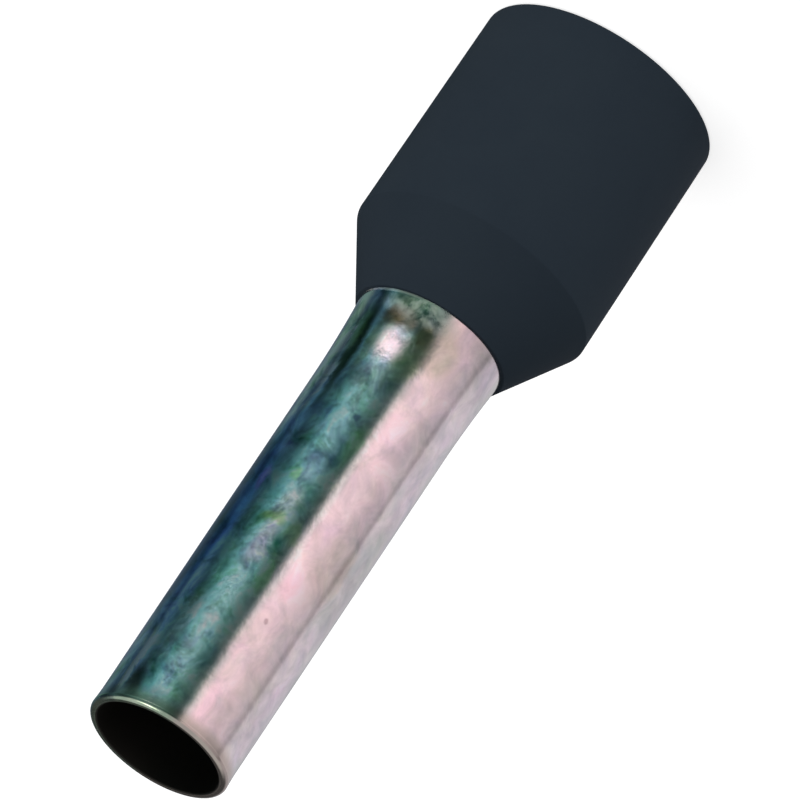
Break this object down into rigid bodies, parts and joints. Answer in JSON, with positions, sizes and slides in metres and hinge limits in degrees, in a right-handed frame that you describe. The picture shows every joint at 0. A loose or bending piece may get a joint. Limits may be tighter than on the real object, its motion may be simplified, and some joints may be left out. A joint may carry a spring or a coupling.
{
  "type": "insulated wire ferrule",
  "caption": "Insulated wire ferrule: a thin tin-plated crimp sleeve with a lipped tip, seated by its hidden bell in a black moulded collar with a funnel entry.",
  "frame": {"origin": "centre of the collar's mouth, in the plane of its rim", "axes": "+Z along the ferrule's axis from the collar's mouth towards the open tip of the sleeve; X and Y are any two directions across it, because the part is round"},
  "size_m": [0.0042, 0.0042, 0.0139],
  "materials": {
    "tinned_copper": "satin",
    "black_plastic": "matte"
  },
  "bodies": {
    "root": {"crimp_sleeve": "tinned_copper", "insulating_collar": "black_plastic"}
  },
  "joints": []
}
